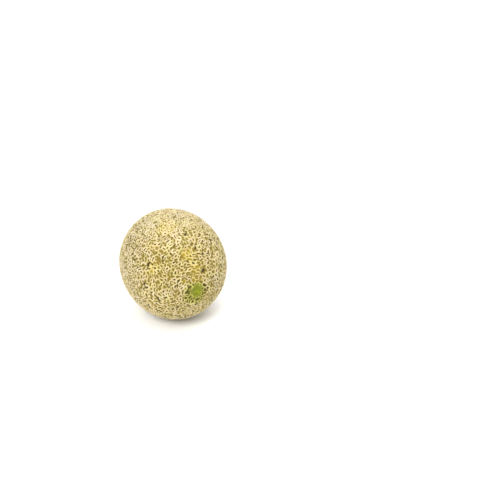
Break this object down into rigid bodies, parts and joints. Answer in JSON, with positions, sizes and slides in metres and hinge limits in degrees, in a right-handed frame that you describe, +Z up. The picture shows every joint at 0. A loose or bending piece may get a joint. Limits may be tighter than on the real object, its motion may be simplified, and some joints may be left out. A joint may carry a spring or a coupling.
{
  "type": "netted melon",
  "caption": "Whole cantaloupe melon with a raised corky net over its rind, a round stem scar and a small flat spot that it rests on.",
  "frame": {"origin": "middle of the flat spot that the melon rests on", "axes": "+Z up; the stem end looks along -Y and dips a little, and the blossom end looks along +Y; the fruit is longest along Y"},
  "size_m": [0.1454, 0.1567, 0.1492],
  "materials": {
    "rind": "dull corky net over a slightly waxy skin"
  },
  "bodies": {
    "root": {"melon": "rind"}
  },
  "joints": []
}
